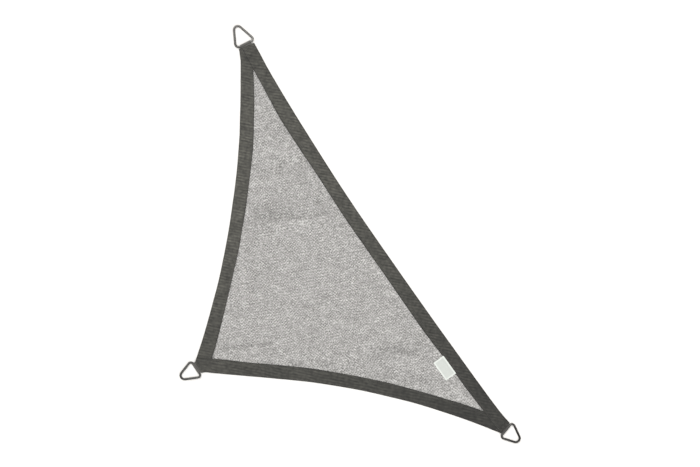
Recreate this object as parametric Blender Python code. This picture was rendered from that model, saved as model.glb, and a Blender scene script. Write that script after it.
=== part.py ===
"""Right-angled triangular shade sail, about 2 m along each leg, lying flat on the ground.

A sheer knitted panel lies inside three border bands. Each band is one strip folded round an edge of the
panel, so it has a ply below the panel and a ply above it, and the panel's edges are hollow, which lets the
pull of the corners spread along them. At each corner a webbing loop is sewn between the plies and holds a
triangular ring of round wire.

Metres, +Z up. In plan the right angle is at -X -Y, the lower leg runs along +X and the left leg along +Y.
The origin is on the ground, under the middle of the whole sail.
"""

import bmesh
import bpy
import numpy as np
from mathutils.geometry import delaunay_2d_cdt

# Cloth
PLY = 0.0012  # thickness of the knit, also of the loops' webbing
GAP = 0.00035  # air between pieces that lie on each other
LAYER = PLY + GAP  # how much one more ply below lifts a ply
BAND_WIDTH = 0.080
BAND_TUCK = 0.018  # how far a band runs on below the band that crosses over it
PANEL_INSET = 0.009  # from the outer fold of a band to the panel's own edge inside it
PANEL_CORNER = 0.016  # from a corner's cut to the panel's own corner

# A ply that lies over another eases down beyond it, over these lengths
EASE_MARGIN = 0.005
BAND_EASE = 0.150
TAIL_EASE = 0.100

# Rings and loops
WIRE_RADIUS = 0.006
RING_COLUMNS = ("base", "right", "left", "right_rounding", "tip_rounding", "left_rounding")
SQUARE_RING = (0.1157, 71.3, 64.4, 0.016, 0.023, 0.014)
FOOT_RING = (0.1185, 68.2, 64.4, 0.016, 0.024, 0.016)
HEAD_RING = (0.1252, 67.7, 68.6, 0.014, 0.023, 0.020)
LOOP_WIDTH = 0.069
LOOP_SLACK = 0.0006  # air between the bar and the webbing round it
LOOP_MOUTH = 0.008  # behind the bar, where the webbing enters the corner
LOOP_TAIL = 0.046  # behind the bar, where the webbing ends inside the corner

# Label, sewn along the long band's inner edge, lapping over it
LABEL_LENGTH = 0.128
LABEL_FROM = 0.0755  # inside the long edge
LABEL_TO = 0.149
LABEL_PLACE = 0.180  # share of the long edge, from the foot
LABEL_THICKNESS = 0.001

# How the hand-guided sewing wavers: the share of the edge, and how far in mm the band's outer fold and its
# inner edge lie further in there than the even curve and the even width
LOWER_WAVER = (
    (0, 0, 8), (0.015, 6, 8), (0.035, 3, 8), (0.09, -1.2, 3), (0.155, -3, -3), (0.25, -2.3, -1),
    (0.36, 2, 2.5), (0.43, 2, 0.5), (0.53, 3, 0.3), (0.61, 1, -0.2), (0.71, 1.3, -3.3), (0.80, -1.5, -3),
    (0.88, -2, 1), (0.985, -2, 1), (1, -1.5, 1),
)
LONG_WAVER = (
    (0, -2.5, 0), (0.02, 2.3, 0), (0.035, 4, 0), (0.07, 4.5, 0), (0.12, 3, 2.5), (0.20, 0.8, 0),
    (0.27, -0.5, 5.5), (0.34, -2, 2), (0.43, -3, -1), (0.50, -2.7, 0.5), (0.575, -1.5, 2.5),
    (0.65, -1.8, -0.6), (0.70, -2.6, 0), (0.76, -3, 4.5), (0.82, -2, 8.5), (0.845, -2, 7), (0.89, -1.2, 0.5),
    (0.94, -1.2, -3.5), (0.975, -4, -3.5), (1, -4.5, -3),
)
LEFT_WAVER = (
    (0, 0, 0), (0.035, 6, -1), (0.10, 1.5, -1), (0.16, 0, 1.5), (0.215, -1, 1.7), (0.27, 0.6, 3.5),
    (0.31, -0.3, 5), (0.38, 0, 0.5), (0.43, -0.8, -1.5), (0.49, -2, -0.8), (0.56, -0.8, -3),
    (0.62, -0.4, -1), (0.68, 0, -3.5), (0.74, 1.2, -3.8), (0.80, -0.5, -2), (0.87, 0, 1.5),
    (0.935, 0.7, 7), (1, 0, 9),
)
WAVER_GROWTH = 8  # power of the share of the width with which the inner edge's part comes in, from the fold

# Soft ridges left in the panel by folding, in plan: x and y of both ends, half-width and height
CREASE_COLUMNS = ("x0", "y0", "x1", "y1", "half_width", "height")
CREASES = (
    (0.163, 0.842, 0.695, 1.005, 0.085, 0.0045),
    (0.900, 0.215, 1.360, 0.330, 0.070, 0.0040),
    (0.110, 1.180, 0.400, 1.300, 0.075, 0.0030),
)

# Finish: base colour, roughness and metallic
FINISHES = {
    "panel knit": ((0.24, 0.235, 0.225), 0.85, 0.0),
    "border knit": ((0.076, 0.072, 0.065), 0.8, 0.0),
    "loop webbing": ((0.12, 0.118, 0.112), 0.75, 0.0),
    "stainless wire": ((0.56, 0.56, 0.55), 0.25, 1.0),
    "label weave": ((0.8, 0.8, 0.8), 0.7, 0.0),
}


class HollowEdge:
    """An outer edge of the sail. It bows in from its chord by 4 d f (1 - f) (1 + k (2 f - 1)), where f is the
    share of the chord, d the depth at its middle and k how far the deepest place leans to the far end, and
    it wavers from that curve."""

    def __init__(self, start, end, depth, lean, waver):
        self.start = start
        chord = end - start
        self.length = np.hypot(*chord)
        self.along = chord / self.length
        self.inward = np.array((-self.along[1], self.along[0]))
        self.depth = depth
        self.lean = lean
        self.shares, self.fold_waver, self.inner_waver = (np.array(waver) * (1, 0.001, 0.001)).T

    def hollow(self, f):
        even = 4 * self.depth * f * (1 - f) * (1 + self.lean * (2 * f - 1))
        return even + np.interp(f, self.shares, self.fold_waver)

    def slope(self, f):
        """Slope of the even curve."""
        rise = 1 - 2 * f + self.lean * (6 * f - 6 * f**2 - 1)
        return 4 * self.depth * rise / self.length

    def parallel(self, f, inset):
        """Points of the curve that lies inset inside the edge. From the band's inner edge on, it follows that
        edge's own wavering."""
        widening = np.interp(f, self.shares, self.inner_waver - self.fold_waver)
        inset = inset + widening * min(inset / BAND_WIDTH, 1) ** WAVER_GROWTH
        slope = self.slope(f)
        stretch = np.hypot(1, slope)
        x = f * self.length - inset * slope / stretch
        y = self.hollow(f) + inset / stretch
        return self.start + x[..., None] * self.along + y[..., None] * self.inward

    def inset(self, plan):
        """How far points in plan lie inside the edge."""
        offset = plan - self.start
        f = offset @ self.along / self.length
        return (offset @ self.inward - self.hollow(f)) / np.hypot(1, self.slope(f))


class Corner:
    """A corner of the sail: the straight cut that ends its cloth, from its right-hand end to its left-hand
    end as seen from inside the sail, the middle of the ring's bar, the angle that the ring points along, how
    far to the left of the bar's middle the loop has slid, and the ring's row."""

    def __init__(self, right, left, bar, pull, slid, ring):
        self.right = np.array(right)
        self.left = np.array(left)
        cut = self.left - self.right
        self.cut_inward = np.array((-cut[1], cut[0])) / np.hypot(*cut)
        self.bar = np.array(bar)
        self.angle = np.radians(pull)
        self.pull = np.array((np.cos(self.angle), np.sin(self.angle)))
        self.loop = self.bar + slid * np.array((-self.pull[1], self.pull[0]))
        self.ring = dict(zip(RING_COLUMNS, ring))

    def inset(self, plan):
        """How far points in plan lie inside the cut."""
        return (plan - self.right) @ self.cut_inward

    def behind(self, plan):
        """How far points in plan lie behind the middle of the ring's bar."""
        return (self.bar - plan) @ self.pull


SQUARE_CUT = (0.0, 0.0), (0.0474, -0.0547)
FOOT_CUT = (1.8525, -0.0998), (1.8915, -0.0343)
HEAD_CUT = (0.0164, 1.9167), (-0.0618, 1.8686)
SQUARE = Corner(*SQUARE_CUT, (0.0153, -0.0353), pull=223.1, slid=-0.0040, ring=SQUARE_RING)
FOOT = Corner(*FOOT_CUT, (1.8789, -0.0746), pull=-29.6, slid=-0.0030, ring=FOOT_RING)
HEAD = Corner(*HEAD_CUT, (-0.0312, 1.9025), pull=126.3, slid=-0.0030, ring=HEAD_RING)
CORNERS = {"square": SQUARE, "foot": FOOT, "head": HEAD}

LOWER = HollowEdge(SQUARE.left, FOOT.right, depth=0.0808, lean=0.13, waver=LOWER_WAVER)
LONG = HollowEdge(FOOT.left, HEAD.right, depth=0.046, lean=0.27, waver=LONG_WAVER)
LEFT = HollowEdge(HEAD.left, SQUARE.right, depth=0.0914, lean=-0.04, waver=LEFT_WAVER)
EDGES = (LOWER, LONG, LEFT)
ROUND = ((SQUARE, LOWER), (FOOT, LONG), (HEAD, LEFT))  # each corner with the edge that leaves it


# ---------------------------------------------------------------- how the plies lie on each other


def ease(distance, start, length):
    """1 up to start, 0 beyond start + length, and a smooth step between them."""
    t = np.clip((distance - start) / length, 0, 1)
    return 1 - t * t * (3 - 2 * t)


def over_band(edge, plan):
    """1 over a band's ply, easing to 0 beyond its inner edge."""
    return ease(edge.inset(plan), BAND_WIDTH + EASE_MARGIN, BAND_EASE)


def over_tail(corner, plan):
    """1 over a tail of a corner's loop, easing to 0 beyond its end."""
    return ease(corner.behind(plan), LOOP_TAIL + EASE_MARGIN, TAIL_EASE)


def levels(plan):
    """How many plies lie under each ply at points in plan; for a band, under its lower and its upper ply.
    The long band laps round both others, and the lower band round the left one. A loop's lower tail lies
    just above the outermost band's lower ply, and its upper tail just below that band's upper ply."""
    lower, long, left = (over_band(edge, plan) for edge in EDGES)
    square, foot, head = (over_tail(corner, plan) for corner in CORNERS.values())
    below_lower = long + foot
    below_left = long + lower + head + square
    return {
        "long": (0 * long, 2 + 2 * (left + lower + head + foot)),
        "lower": (below_lower, below_lower + 2 + 2 * (left + square)),
        "left": (below_left, below_left + 2),
        "panel": below_left + left + foot,
    }


def crease_frame(row):
    """A ridge's row by column name, with its start, its run and the unit vector across it."""
    crease = dict(zip(CREASE_COLUMNS, row))
    start = np.array((crease["x0"], crease["y0"]))
    run = np.array((crease["x1"], crease["y1"])) - start
    return crease, start, run, np.array((-run[1], run[0])) / np.hypot(*run)


def creases(plan):
    """Height of the soft ridges at points in plan: each is a cosine hump across, and fades at its ends."""
    height = 0
    for row in CREASES:
        crease, start, run, side = crease_frame(row)
        length = np.hypot(*run)
        half_width = crease["half_width"]
        along = (plan - start) @ run / length
        across = (plan - start) @ side / half_width
        hump = np.cos(np.clip(across, -1, 1) * np.pi / 2) ** 2
        ends = ease(-along, 0, half_width) * ease(along, length, half_width)
        height = height + crease["height"] * hump * ends
    return height


def panel_underside(plan):
    """Height of the panel's underside. The ridges fade out towards the bands, which hold it flat."""
    held = sum(over_band(edge, plan) for edge in EDGES)
    return LAYER * levels(plan)["panel"] + creases(plan) * np.clip(1 - held, 0, 1)


# ---------------------------------------------------------------- meshes and objects


def material(name):
    if name not in bpy.data.materials:
        colour, roughness, metallic = FINISHES[name]
        made = bpy.data.materials.new(name)
        made.use_nodes = True
        shader = made.node_tree.nodes["Principled BSDF"]
        shader.inputs["Base Color"].default_value = (*colour, 1.0)
        shader.inputs["Roughness"].default_value = roughness
        shader.inputs["Metallic"].default_value = metallic
    return bpy.data.materials[name]


def closed_mesh(name, points, faces, finish):
    """A mesh of one closed body, its faces turned outwards, shaded smooth but for its real edges."""
    mesh = bpy.data.meshes.new(name)
    mesh.from_pydata(points.reshape(-1, 3).tolist(), [], faces)
    shell = bmesh.new()
    shell.from_mesh(mesh)
    bmesh.ops.recalc_face_normals(shell, faces=shell.faces)
    shell.to_mesh(mesh)
    shell.free()
    mesh.shade_smooth()
    mesh.set_sharp_from_angle(angle=np.radians(40))
    mesh.materials.append(material(finish))
    return mesh


def place(name, mesh, sail, location=(0, 0, 0), rotation=(0, 0, 0)):
    """An object that holds the mesh, placed in the sail's own plan."""
    made = bpy.data.objects.new(name, mesh)
    made.location = location
    made.rotation_euler = rotation
    made.parent = sail
    bpy.context.scene.collection.objects.link(made)


def grid_quads(rows, columns, first=0):
    """The faces of a grid of rows x columns points, counted row by row from first."""
    corner = first + np.arange(rows - 1)[:, None] * columns + np.arange(columns - 1)
    faces = np.stack((corner, corner + 1, corner + columns + 1, corner + columns), axis=-1)
    return faces.reshape(-1, 4).tolist()


def rim_quads(rim, count):
    """Faces that join the closed line of point numbers rim to the same line of the other skin."""
    following = np.roll(rim, -1)
    return np.column_stack((rim, following, following + count, rim + count)).tolist()


def sheet_mesh(name, outer, inner, finish):
    """A closed sheet between two grids of points, which are its two skins."""
    rows, columns = outer.shape[:2]
    count = rows * columns
    number = np.arange(count).reshape(rows, columns)
    rim = np.concatenate((number[0, :-1], number[:-1, -1], number[-1, :0:-1], number[:0:-1, 0]))
    skins = grid_quads(rows, columns) + grid_quads(rows, columns, count)
    return closed_mesh(name, np.concatenate((outer, inner)), skins + rim_quads(rim, count), finish)


# ---------------------------------------------------------------- bands


def crossing(edge, inset, near, far, limits):
    """The share of the edge at which its parallel curve, on the way from near to far, comes inside all the
    limits: pairs of a cut or another edge, and the inset to reach from it."""
    f = np.linspace(near, far, 4001)
    curve = edge.parallel(f, inset)
    inside = np.min([limit.inset(curve) - reach for limit, reach in limits], axis=0)
    first = np.argmax(inside > 0)
    share = inside[first] / (inside[first] - inside[first - 1])
    return f[first] + share * (f[first - 1] - f[first])


def trimmed(edge, inset, start_limits, end_limits):
    """Both shares of the edge between which its parallel curve lies inside the limits at its ends."""
    start = crossing(edge, inset, -0.10, 0.90, start_limits)
    return start, crossing(edge, inset, 1.10, 0.10, end_limits)


def closer_at_ends(count):
    """Shares from 0 to 1 with steps about a third as long at both ends as on average."""
    t = np.linspace(0, 1, count)
    return t - 0.105 * np.sin(2 * np.pi * t)


def band_plan(edge, insets, count, start_limits, end_limits):
    """Points of a band in plan, a row of count for each inset, each row trimmed to the limits at its ends."""
    rows = []
    for inset in insets:
        start, end = trimmed(edge, inset, start_limits, end_limits)
        rows.append(edge.parallel(start + (end - start) * closer_at_ends(count), inset))
    return np.array(rows)


FOLD_TURNS = np.radians((-90, -45, 0, 45, 90))


def band_mesh(name, edge, insets, count, start_limits, end_limits):
    """A band: its lower ply from its inner edge out to the fold, half round the fold, and back in above.
    The fold is as high as what lies between the two plies."""
    plan = band_plan(edge, insets, count, start_limits, end_limits)
    below, above = (LAYER * level for level in levels(plan)[name])
    lower_ply = np.dstack((plan, below))
    upper_ply = np.dstack((plan, above))
    inwards = (plan[1] - plan[0]) / insets[1]
    middle = (above[0] + PLY + below[0]) / 2
    radius = middle - below[0]
    folds = []
    for reach in (radius, radius - PLY):
        inset = radius - reach * np.cos(FOLD_TURNS)[:, None]
        height = middle + reach * np.sin(FOLD_TURNS)[:, None]
        folds.append(np.dstack((plan[0] + inset[..., None] * inwards, height)))
    thickness = (0, 0, PLY)
    outer = np.concatenate((lower_ply[:0:-1], folds[0], upper_ply[1:] + thickness))
    inner = np.concatenate((lower_ply[:0:-1] + thickness, folds[1], upper_ply[1:]))
    return sheet_mesh("band_" + name, outer, inner, "border knit")


def band_meshes():
    """The long band runs out to both its cuts, the lower one to the square corner's. An end that another band
    laps over stops a tuck's length below it. A middle inset lies where a cut meets the next edge."""
    tucked = BAND_WIDTH - BAND_TUCK
    lower_ends = ((SQUARE, 0), (LEFT, 0)), ((FOOT, 0), (LONG, tucked))
    long_ends = ((FOOT, 0), (LOWER, 0)), ((HEAD, 0), (LEFT, 0))
    left_ends = ((HEAD, 0), (LONG, tucked)), ((SQUARE, 0), (LOWER, tucked))
    return (
        band_mesh("lower", LOWER, (0, 0.016, 0.038, 0.0604, BAND_WIDTH), 34, *lower_ends),
        band_mesh("long", LONG, (0, 0.039, 0.0770, BAND_WIDTH), 44, *long_ends),
        band_mesh("left", LEFT, (0, 0.032, 0.056, BAND_WIDTH), 34, *left_ends),
    )


# ---------------------------------------------------------------- panel

# Lines parallel to the edges that carry the panel's points: how far inside, and points for each side
PANEL_OUTLINE = (PANEL_INSET, 26)
PANEL_LINES = (
    (BAND_WIDTH + EASE_MARGIN, 28),
    (0.045, 22),
    (0.120, 24),
    (0.160, 22),
    (0.200, 18),
    (0.240, 14),
    (0.310, 9),
    (0.390, 5),
)
POINT_SPACING = 0.026  # the least between two of the panel's points
CREASE_STEP = 0.080  # between the points along a ridge


def panel_line(inset, count, from_cut):
    """Points on the three curves that lie inset inside the edges, from corner to corner."""
    sides = []
    for i, (corner, edge) in enumerate(ROUND):
        next_corner, next_edge = ROUND[(i + 1) % 3]
        last_edge = ROUND[i - 1][1]
        start_limits = ((corner, from_cut), (last_edge, inset))
        end_limits = ((next_corner, from_cut), (next_edge, inset))
        start, end = trimmed(edge, inset, start_limits, end_limits)
        sides.append(edge.parallel(start + (end - start) * closer_at_ends(count), inset))
    return np.concatenate(sides)


def crease_points():
    """Points along the crest and the flanks of each ridge, clear of the bands."""
    made = []
    for row in CREASES:
        crease, start, run, side = crease_frame(row)
        shares = np.linspace(0, 1, 2 + int(np.hypot(*run) / CREASE_STEP))
        for across in (0, -0.5, 0.5, -1, 1):
            made.append(start + shares[:, None] * run + across * crease["half_width"] * side)
    points = np.concatenate(made)
    inset = np.min([edge.inset(points) for edge in EDGES], axis=0)
    return points[inset > BAND_WIDTH + EASE_MARGIN]


def spaced(outline, others):
    """The outline, then those of the others that keep their distance from it and from each other."""
    kept = list(outline)
    for point in others:
        if np.hypot(*(np.array(kept) - point).T).min() > POINT_SPACING:
            kept.append(point)
    return np.array(kept)


def panel_mesh():
    """The panel: points on lines parallel to its edges, closer where it eases down off the bands, joined as
    a Delaunay mesh inside its outline, and given its thickness."""
    outline = panel_line(*PANEL_OUTLINE, PANEL_CORNER)
    lines = [panel_line(*line, PANEL_CORNER + POINT_SPACING) for line in PANEL_LINES]
    plan = spaced(outline, np.concatenate((lines[0], crease_points(), *lines[1:])))
    rim = np.arange(len(outline))
    border = np.column_stack((rim, np.roll(rim, -1)))
    points, _, triangles, *_ = delaunay_2d_cdt(plan.tolist(), border.tolist(), [], 1, 1e-6)
    plan = np.array([tuple(point) for point in points])
    under = np.column_stack((plan, panel_underside(plan)))
    count = len(plan)
    skins = np.concatenate((triangles, np.array(triangles) + count)).tolist()
    points = np.concatenate((under, under + (0, 0, PLY)))
    return closed_mesh("cloth", points, skins + rim_quads(rim, count), "panel knit")


# ---------------------------------------------------------------- label


def label_mesh():
    """The label: it lies on the panel, and its sewn long side steps up over the long band's inner edge."""
    half = LABEL_LENGTH / 2 / LONG.length
    f = np.linspace(LABEL_PLACE - half, LABEL_PLACE + half, 7)
    insets = np.array((LABEL_FROM, 0.083, 0.088, 0.093, 0.105, 0.118, 0.131, LABEL_TO))
    plan = np.array([LONG.parallel(f, inset) for inset in insets])
    stepped_up = ease(insets, BAND_WIDTH + EASE_MARGIN / 2, 0.015)[:, None]
    level = levels(plan)
    lift = LAYER * (1 + stepped_up * (level["long"][1] - level["panel"]))
    under = np.dstack((plan, panel_underside(plan) + lift))
    return sheet_mesh("label", under + (0, 0, LABEL_THICKNESS), under, "label weave")


# ---------------------------------------------------------------- rings and loops

BAR_HEIGHT = PLY + LOOP_SLACK + WIRE_RADIUS  # the loop's webbing passes below the bar
WRAP_RADIUS = WIRE_RADIUS + LOOP_SLACK + PLY / 2  # of the middle of the webbing, round the bar
WRAP_STEPS = 14
ROUNDING_STEPS = 8
WIRE_SIDES = 12


def rounded_triangle(ring):
    """Middle line of a ring's wire, x outwards from its bar and y along it, from its row: the base between
    its lower corners before rounding, the angles there in degrees, and the radii of its corners, which are
    arcs that touch both sides. With it goes the direction square to the wire and out of the ring, as an
    angle. The rings were bent one by one and differ a little."""
    half = ring["base"] / 2
    spread = 1 / np.tan(np.radians((ring["right"], ring["left"])))
    height = ring["base"] / spread.sum()
    corners = np.array(((0, -half), (height, height * spread[0] - half), (0, half)))
    points = []
    outwards = []
    for i, place in enumerate(("right", "tip", "left")):
        radius = ring[place + "_rounding"]
        arriving, leaving = corners[i] - corners[i - 1], corners[(i + 1) % 3] - corners[i]
        first, last = (np.arctan2(-side[0], side[1]) for side in (arriving, leaving))
        turn = (last - first) % (2 * np.pi)
        facing = first + turn / 2
        centre = corners[i] - radius / np.cos(turn / 2) * np.array((np.cos(facing), np.sin(facing)))
        angles = first + turn * np.linspace(0, 1, ROUNDING_STEPS + 1)
        points.append(centre + radius * np.column_stack((np.cos(angles), np.sin(angles))))
        outwards.append(angles)
    return np.concatenate(points), np.concatenate(outwards)


def ring_mesh(middle, outwards):
    """A ring: a circle of the wire's radius carried round the rounded triangle."""
    turns = np.arange(WIRE_SIDES) * 2 * np.pi / WIRE_SIDES
    reach = WIRE_RADIUS * np.cos(turns)
    x = middle[:, :1] + np.cos(outwards)[:, None] * reach
    y = middle[:, 1:] + np.sin(outwards)[:, None] * reach
    z = np.broadcast_to(WIRE_RADIUS * np.sin(turns), x.shape)
    along = np.arange(len(middle))[:, None] * WIRE_SIDES
    ahead = np.roll(along, -1, axis=0)
    side = np.arange(WIRE_SIDES)
    next_side = np.roll(side, -1)
    faces = np.stack((along + side, ahead + side, ahead + next_side, along + next_side), axis=-1)
    return closed_mesh("ring", np.dstack((x, y, z)), faces.reshape(-1, 4).tolist(), "stainless wire")


def beside(line, distance):
    """A line in its plane, moved to its left by the distance, with mitred bends."""
    step = np.diff(line, axis=0)
    left = np.column_stack((-step[:, 1], step[:, 0])) / np.hypot(*step.T)[:, None]
    bend = np.concatenate((left[:1], left)) + np.concatenate((left, left[-1:]))
    return line + distance * bend * 2 / (bend**2).sum(axis=1, keepdims=True)


def loop_line():
    """Side view of a loop, x outwards from the bar and z up: from the end of its lower tail to the mouth,
    round the bar, and back from the mouth to the end of its upper tail."""
    bar = np.array((0, BAR_HEIGHT))
    heights = [LAYER * level + PLY / 2 for level in (1, 5)]
    tangents = []
    for height, side in zip(heights, (-1, 1)):
        x, z = bar - (-LOOP_MOUTH, height)
        heading = np.arctan2(z, x) + side * np.arcsin(WRAP_RADIUS / np.hypot(x, z))
        tangents.append(heading + side * np.pi / 2)
    wrap = np.linspace(*tangents, WRAP_STEPS + 1)
    lower_tail = [(-LOOP_TAIL, heights[0]), (-LOOP_MOUTH, heights[0])]
    upper_tail = [(-LOOP_MOUTH, heights[1]), (-LOOP_TAIL, heights[1])]
    round_bar = bar + WRAP_RADIUS * np.column_stack((np.cos(wrap), np.sin(wrap)))
    return np.concatenate((lower_tail, round_bar, upper_tail))


def loop_mesh():
    """A loop: its side view given the webbing's thickness and width."""
    line = loop_line()
    skins = []
    for distance in (-PLY / 2, PLY / 2):
        x, z = beside(line, distance).T
        skins.append([(x, 0 * x + y, z) for y in (-LOOP_WIDTH / 2, LOOP_WIDTH / 2)])
    outer, inner = (np.transpose(skin, (0, 2, 1)) for skin in skins)
    return sheet_mesh("loop", outer, inner, "loop webbing")


def place_fittings(sail):
    """A ring and a loop at each corner, turned to its pull. Each ring leans down to rest on its tip."""
    loop = loop_mesh()
    for name, corner in CORNERS.items():
        middle, outwards = rounded_triangle(corner.ring)
        lean = np.arcsin((BAR_HEIGHT - WIRE_RADIUS) / middle[:, 0].max())
        ring = ring_mesh(middle, outwards)
        place("ring_" + name, ring, sail, (*corner.bar, BAR_HEIGHT), (0, lean, corner.angle))
        place("loop_" + name, loop, sail, (*corner.loop, 0), (0, 0, corner.angle))


# ---------------------------------------------------------------- the sail


def centre_on_ground(sail):
    """Moves the sail so that the origin is under the middle of its box."""
    bpy.context.view_layer.update()
    corners = [made.matrix_world @ vertex.co for made in sail.children for vertex in made.data.vertices]
    low, high = np.min(corners, axis=0), np.max(corners, axis=0)
    sail.location = (-(low[0] + high[0]) / 2, -(low[1] + high[1]) / 2, -low[2])


def make_sail():
    for old in list(bpy.data.objects):
        bpy.data.objects.remove(old)
    sail = bpy.data.objects.new("sail", None)
    bpy.context.scene.collection.objects.link(sail)
    for mesh in (panel_mesh(), *band_meshes(), label_mesh()):
        place(mesh.name, mesh, sail)
    place_fittings(sail)
    centre_on_ground(sail)


make_sail()
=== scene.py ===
"""The looks of a right-angled triangular shade sail, laid out on a pale floor and seen from straight above.

Metres, +Z up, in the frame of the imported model: the lower leg runs along +X and the left leg along +Y.
"""

import bmesh
import bpy
import numpy as np
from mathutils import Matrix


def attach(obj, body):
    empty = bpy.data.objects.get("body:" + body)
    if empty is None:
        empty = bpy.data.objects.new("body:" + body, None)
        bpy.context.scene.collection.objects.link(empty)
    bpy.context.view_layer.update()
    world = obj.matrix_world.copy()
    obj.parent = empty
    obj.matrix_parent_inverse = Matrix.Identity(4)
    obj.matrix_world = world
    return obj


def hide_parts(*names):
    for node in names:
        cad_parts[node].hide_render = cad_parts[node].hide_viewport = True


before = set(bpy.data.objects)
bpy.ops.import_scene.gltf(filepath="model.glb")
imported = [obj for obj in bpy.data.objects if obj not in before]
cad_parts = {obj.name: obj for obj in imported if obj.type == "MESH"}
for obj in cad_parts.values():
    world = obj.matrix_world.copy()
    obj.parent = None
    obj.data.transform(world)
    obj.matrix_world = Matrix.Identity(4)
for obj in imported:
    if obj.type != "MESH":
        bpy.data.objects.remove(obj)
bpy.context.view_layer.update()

# ---------------------------------------------------------------- the sheer panel
# One piece of open warp-knitted polyethylene yarn, cut with three hollow edges. It ends inside the folded
# borders that are sewn round it. Spread flat, it keeps a few soft ridges from having been folded up.

PLY = 0.0012  # thickness of the knit, also of the loops' webbing
GAP = 0.00035  # air between pieces that lie on each other
LAYER = PLY + GAP  # how much one more ply below lifts a ply
BAND_WIDTH = 0.080
PANEL_INSET = 0.009  # from the outer fold of a border to the panel's own edge inside it
PANEL_CORNER = 0.016  # from a corner's cut to the panel's own corner
LOOP_TAIL = 0.046  # behind a ring's bar, where its loop ends inside the corner
EASE_MARGIN = 0.005  # a ply that lies over another eases down beyond it, from this far on
BAND_EASE = 0.150
TAIL_EASE = 0.100
MIDDLE = np.array((0.92789, 0.93129))  # of the whole sail, from the cloth's corner that starts the lower leg

# How the hand-guided sewing wavers: the share of the edge, and how far in mm the border's outer fold and its
# inner edge lie further in there than the even curve and the even width
LOWER_WAVER = (
    (0, 0, 8), (0.015, 6, 8), (0.035, 3, 8), (0.09, -1.2, 3), (0.155, -3, -3), (0.25, -2.3, -1),
    (0.36, 2, 2.5), (0.43, 2, 0.5), (0.53, 3, 0.3), (0.61, 1, -0.2), (0.71, 1.3, -3.3), (0.80, -1.5, -3),
    (0.88, -2, 1), (0.985, -2, 1), (1, -1.5, 1),
)
LONG_WAVER = (
    (0, -2.5, 0), (0.02, 2.3, 0), (0.035, 4, 0), (0.07, 4.5, 0), (0.12, 3, 2.5), (0.20, 0.8, 0),
    (0.27, -0.5, 5.5), (0.34, -2, 2), (0.43, -3, -1), (0.50, -2.7, 0.5), (0.575, -1.5, 2.5),
    (0.65, -1.8, -0.6), (0.70, -2.6, 0), (0.76, -3, 4.5), (0.82, -2, 8.5), (0.845, -2, 7), (0.89, -1.2, 0.5),
    (0.94, -1.2, -3.5), (0.975, -4, -3.5), (1, -4.5, -3),
)
LEFT_WAVER = (
    (0, 0, 0), (0.035, 6, -1), (0.10, 1.5, -1), (0.16, 0, 1.5), (0.215, -1, 1.7), (0.27, 0.6, 3.5),
    (0.31, -0.3, 5), (0.38, 0, 0.5), (0.43, -0.8, -1.5), (0.49, -2, -0.8), (0.56, -0.8, -3),
    (0.62, -0.4, -1), (0.68, 0, -3.5), (0.74, 1.2, -3.8), (0.80, -0.5, -2), (0.87, 0, 1.5),
    (0.935, 0.7, 7), (1, 0, 9),
)
WAVER_GROWTH = 8  # power of the share of the width with which the inner edge's part comes in, from the fold


class HollowEdge:
    """An outer edge of the sail. It bows in from its chord by 4 d f (1 - f) (1 + k (2 f - 1)), where f is the
    share of the chord, d the depth at its middle and k how far the deepest place leans to the far end, and
    it wavers from that curve."""

    def __init__(self, start, end, depth, lean, waver):
        self.start = start
        chord = end - start
        self.length = np.hypot(*chord)
        self.along = chord / self.length
        self.inward = np.array((-self.along[1], self.along[0]))
        self.depth = depth
        self.lean = lean
        self.shares, self.fold_waver, self.inner_waver = (np.array(waver) * (1, 0.001, 0.001)).T

    def hollow(self, f):
        even = 4 * self.depth * f * (1 - f) * (1 + self.lean * (2 * f - 1))
        return even + np.interp(f, self.shares, self.fold_waver)

    def slope(self, f):
        return 4 * self.depth * (1 - 2 * f + self.lean * (6 * f - 6 * f**2 - 1)) / self.length

    def parallel(self, f, inset):
        """Points of the curve that lies inset inside the edge: the edge's own point at f, moved inset along
        the even curve's normal, and further by the inner edge's own wavering, times (inset / width)^8."""
        widening = np.interp(f, self.shares, self.inner_waver - self.fold_waver)
        inset = inset + widening * min(inset / BAND_WIDTH, 1) ** WAVER_GROWTH
        slope = self.slope(f)
        stretch = np.hypot(1, slope)
        x = f * self.length - inset * slope / stretch
        y = self.hollow(f) + inset / stretch
        return self.start + x[..., None] * self.along + y[..., None] * self.inward

    def inset(self, plan):
        """How far points in plan lie inside the edge: their height over it, times the cosine of its slope."""
        offset = plan - self.start
        f = offset @ self.along / self.length
        return (offset @ self.inward - self.hollow(f)) / np.hypot(1, self.slope(f))


class Corner:
    """A corner of the sail: the straight cut that ends its cloth, from its right-hand end to its left-hand
    end as seen from inside the sail, the middle of the ring's bar, the angle in degrees that the ring points
    along, and how far to the left of the bar's middle the loop has slid."""

    def __init__(self, right, left, bar, pull, slid):
        self.right, self.left, self.bar = (np.array(place) - MIDDLE for place in (right, left, bar))
        cut = self.left - self.right
        self.cut_inward = np.array((-cut[1], cut[0])) / np.hypot(*cut)
        self.angle = np.radians(pull)
        self.pull = np.array((np.cos(self.angle), np.sin(self.angle)))
        self.side = np.array((-self.pull[1], self.pull[0]))
        self.loop = self.bar + slid * self.side

    def inset(self, plan):
        """How far points in plan lie inside the cut."""
        return (plan - self.right) @ self.cut_inward

    def behind(self, plan):
        """How far points in plan lie behind the middle of the ring's bar."""
        return (self.bar - plan) @ self.pull


SQUARE = Corner((0.0, 0.0), (0.0474, -0.0547), bar=(0.0153, -0.0353), pull=223.1, slid=-0.0040)
FOOT = Corner((1.8525, -0.0998), (1.8915, -0.0343), bar=(1.8789, -0.0746), pull=-29.6, slid=-0.0030)
HEAD = Corner((0.0164, 1.9167), (-0.0618, 1.8686), bar=(-0.0312, 1.9025), pull=126.3, slid=-0.0030)
CORNERS = {"square": SQUARE, "foot": FOOT, "head": HEAD}

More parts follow.
